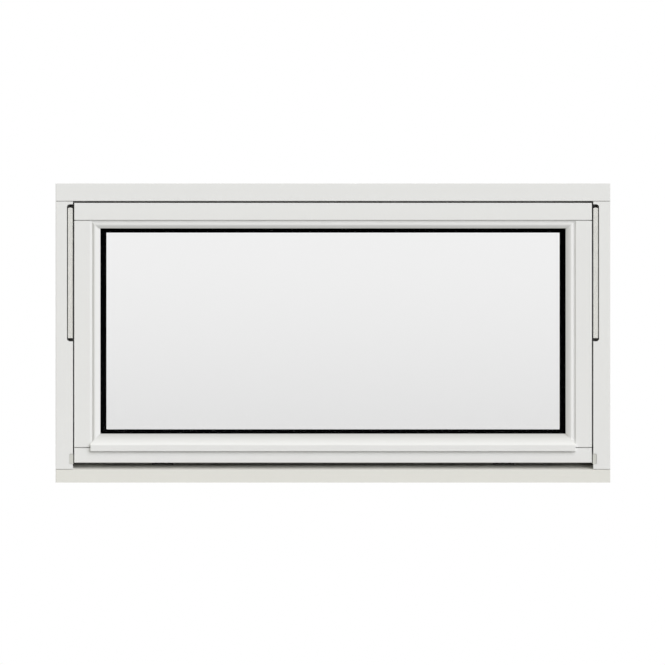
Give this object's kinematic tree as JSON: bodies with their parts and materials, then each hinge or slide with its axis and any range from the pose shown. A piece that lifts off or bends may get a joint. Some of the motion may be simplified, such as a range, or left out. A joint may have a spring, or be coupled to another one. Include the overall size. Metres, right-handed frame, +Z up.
{
  "type": "top hung awning window",
  "caption": "White painted timber awning window, hung at the top on slot hinges, with a double glazed sash in moulded beads and a sloped sill.",
  "frame": {"origin": "centre of the frame's underside, on the surface that it stands on", "axes": "+X to the right seen from outside, +Y towards the room, +Z up"},
  "size_m": [1.19, 0.1185, 0.642],
  "materials": {
    "painted_timber": "satin white paint",
    "clear_glass": "polished",
    "black_spacer": "matt",
    "edge_sealant": "matt",
    "glazing_tape": "matt",
    "weather_seal": "matt",
    "setting_plastic": "matt",
    "guide_plastic": "satin",
    "hinge_bar": "satin anodised",
    "hinge_steel": "black passivated",
    "lock_steel": "black passivated",
    "handle_metal": "satin"
  },
  "bodies": {
    "root": {"frame_head": "painted_timber", "frame_sill": "painted_timber", "frame_jamb_left": "painted_timber", "frame_jamb_right": "painted_timber", "sash_top_rail": "painted_timber", "sash_bottom_rail": "painted_timber", "sash_stile_left": "painted_timber", "sash_stile_right": "painted_timber", "bead_top": "painted_timber", "bead_bottom": "painted_timber", "bead_left": "painted_timber", "bead_right": "painted_timber", "glass_outer_pane": "clear_glass", "glass_inner_pane": "clear_glass", "glass_spacer": "black_spacer", "glass_edge_seal": "edge_sealant", "glazing_tape_outer": "glazing_tape", "glazing_tape_inner": "glazing_tape", "frame_seal_head": "weather_seal", "frame_seal_sill": "weather_seal", "frame_seal_left": "weather_seal", "frame_seal_right": "weather_seal", "setting_block_left": "setting_plastic", "setting_block_right": "setting_plastic", "guide_block_left": "guide_plastic", "guide_block_right": "guide_plastic", "hinge_shoe_left": "guide_plastic", "hinge_shoe_right": "guide_plastic", "hinge_arm_left": "hinge_bar", "hinge_arm_right": "hinge_bar", "hinge_rail_left": "hinge_steel", "hinge_rail_right": "hinge_steel", "hinge_plate_left": "hinge_steel", "hinge_plate_right": "hinge_steel", "hinge_bracket_left": "hinge_steel", "hinge_bracket_right": "hinge_steel", "lock_strip": "lock_steel", "lock_keep_left": "lock_steel", "lock_keep_right": "lock_steel", "handle_rose": "handle_metal", "handle_neck": "handle_metal", "handle_grip": "handle_metal"}
  },
  "joints": []
}
